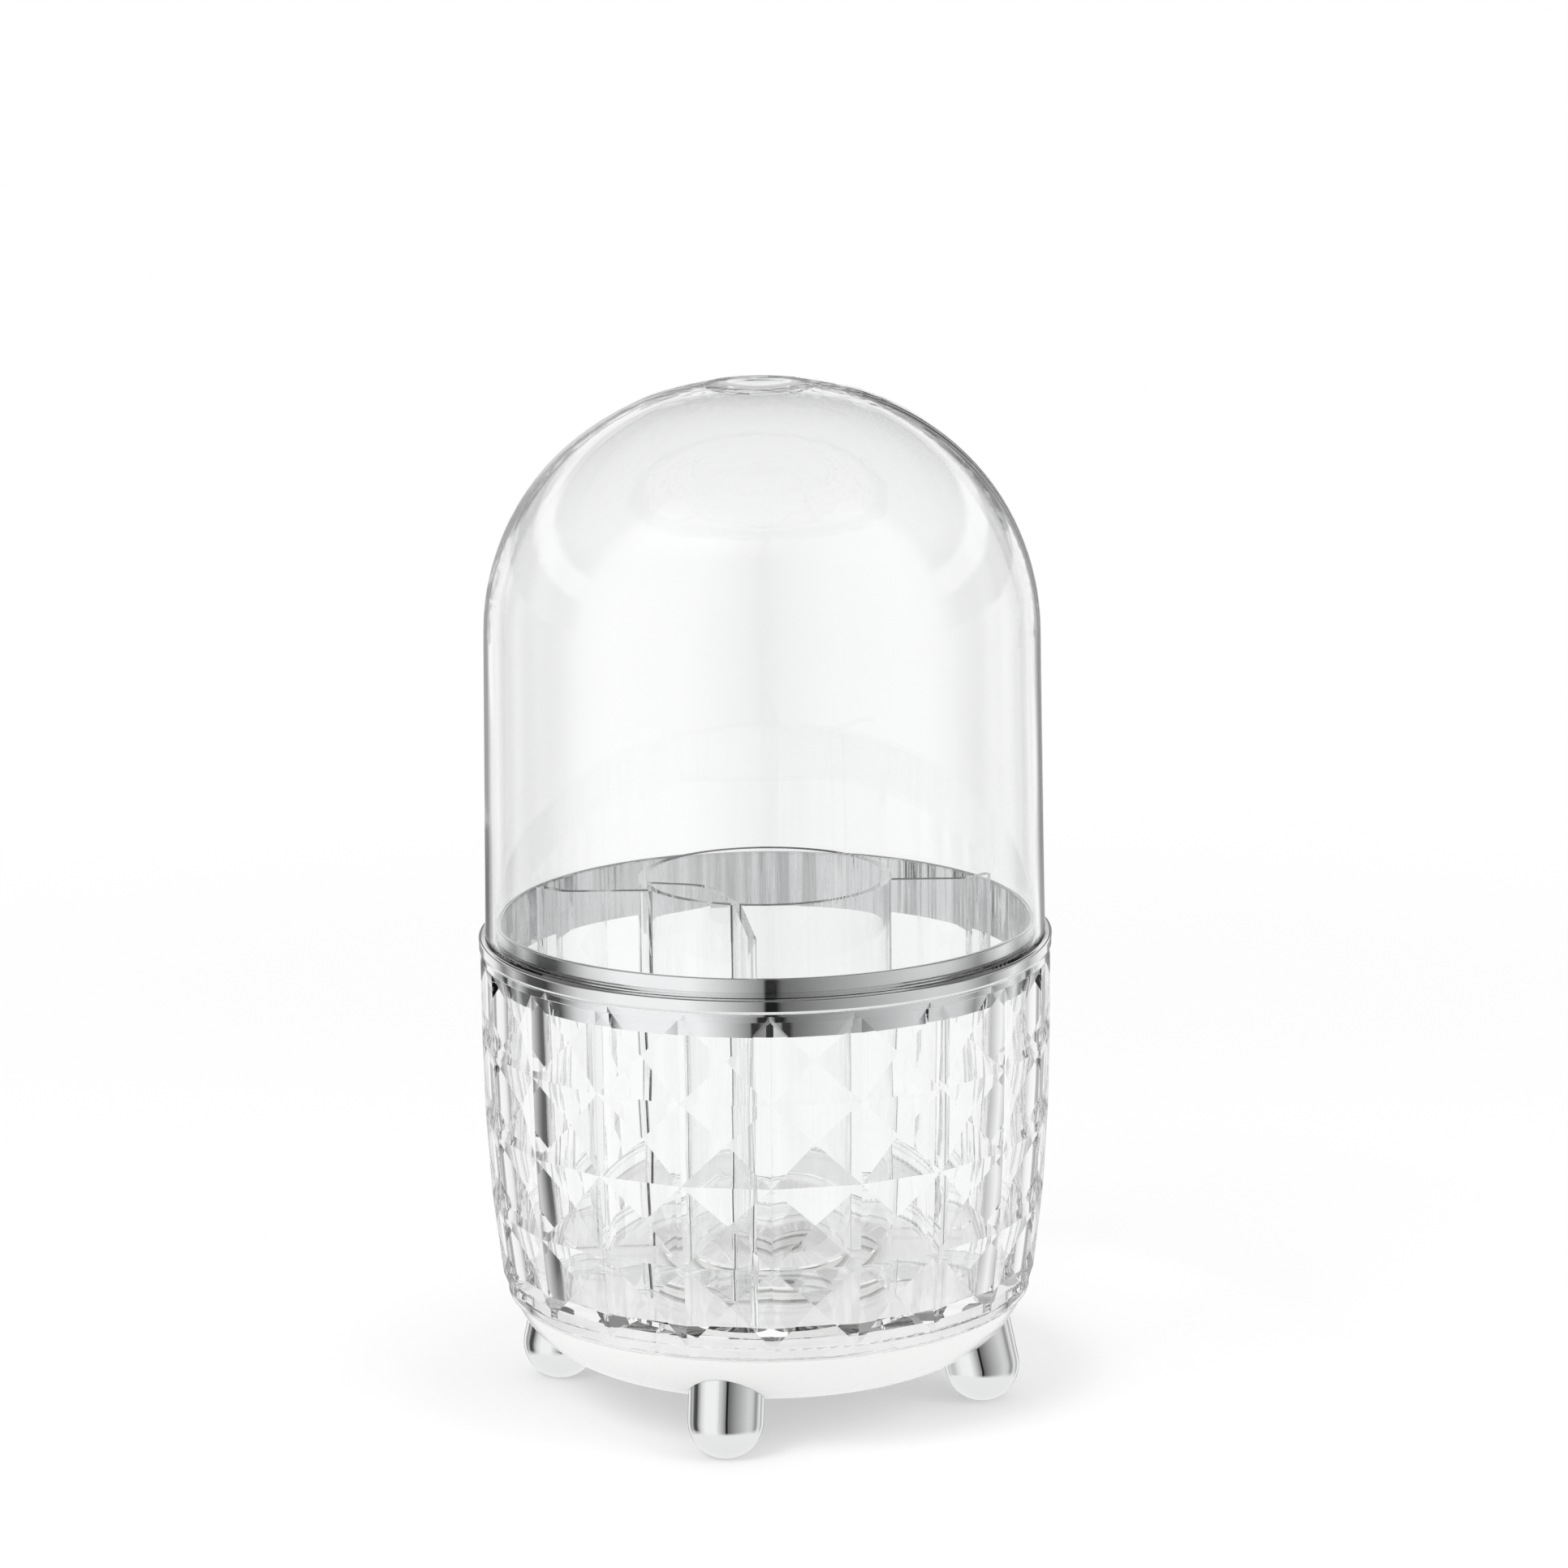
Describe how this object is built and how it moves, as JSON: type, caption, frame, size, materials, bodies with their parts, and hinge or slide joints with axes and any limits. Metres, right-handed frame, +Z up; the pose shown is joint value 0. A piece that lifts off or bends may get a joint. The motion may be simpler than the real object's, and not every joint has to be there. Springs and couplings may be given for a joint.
{
  "type": "rotating makeup brush organizer",
  "caption": "Clear domed canister for makeup brushes: a lift-off lid on a bright collar, a cut-pattern cup with a drop-in divider, and a white dish on splayed feet that the cup turns on.",
  "frame": {"origin": "on the floor under the spin axis", "axes": "+Z up along the spin axis, -Y towards the viewer of the picture, +X to its right"},
  "size_m": [0.122, 0.122, 0.219],
  "materials": {
    "base_white": "glossy opaque white",
    "deck_white": "white",
    "foot_chrome": "bright plated plastic",
    "collar_chrome": "bright plated plastic",
    "screw_steel": "zinc plated",
    "race_white": "white, low friction",
    "ball_steel": "polished",
    "pin_steel": "turned",
    "cage_plastic": "natural",
    "bush_plastic": "natural",
    "cup_clear": "clear, cut pattern",
    "divider_clear": "clear",
    "lid_clear": "clear"
  },
  "bodies": {
    "base": {"base_dish": "base_white", "base_deck": "deck_white", "foot_front": "foot_chrome", "foot_right": "foot_chrome", "foot_back": "foot_chrome", "foot_left": "foot_chrome", "foot_screws": "screw_steel", "deck_screws": "screw_steel", "lower_race": "race_white", "pivot_bush": "bush_plastic"},
    "cage": {"ball_cage": "cage_plastic", "bearing_balls": "ball_steel"},
    "cup": {"cup": "cup_clear", "collar_ring": "collar_chrome", "upper_race": "race_white", "pivot_pin": "pin_steel", "hub_washer": "bush_plastic", "tail_washer": "bush_plastic", "retaining_clip": "pin_steel"},
    "divider": {"divider": "divider_clear"},
    "lid": {"dome_lid": "lid_clear"}
  },
  "joints": [
    {"name": "cup_spin", "type": "hinge", "parent": "base", "child": "cup", "pos_m": [0, 0, 0.025], "axis": [0, 0, 1], "continuous": true},
    {"name": "cage_spin", "type": "hinge", "parent": "base", "child": "cage", "pos_m": [0, 0, 0.025], "axis": [0, 0, 1], "continuous": true},
    {"name": "divider_lift", "type": "slide", "parent": "cup", "child": "divider", "axis": [0, 0, 1], "range_m": [0, 0.06]},
    {"name": "lid_lift", "type": "slide", "parent": "cup", "child": "lid", "axis": [0, 0, 1], "range_m": [0, 0.15]}
  ],
  "couplings": [
    {"joint": "cage_spin", "follows": "cup_spin", "ratio": 0.5}
  ]
}
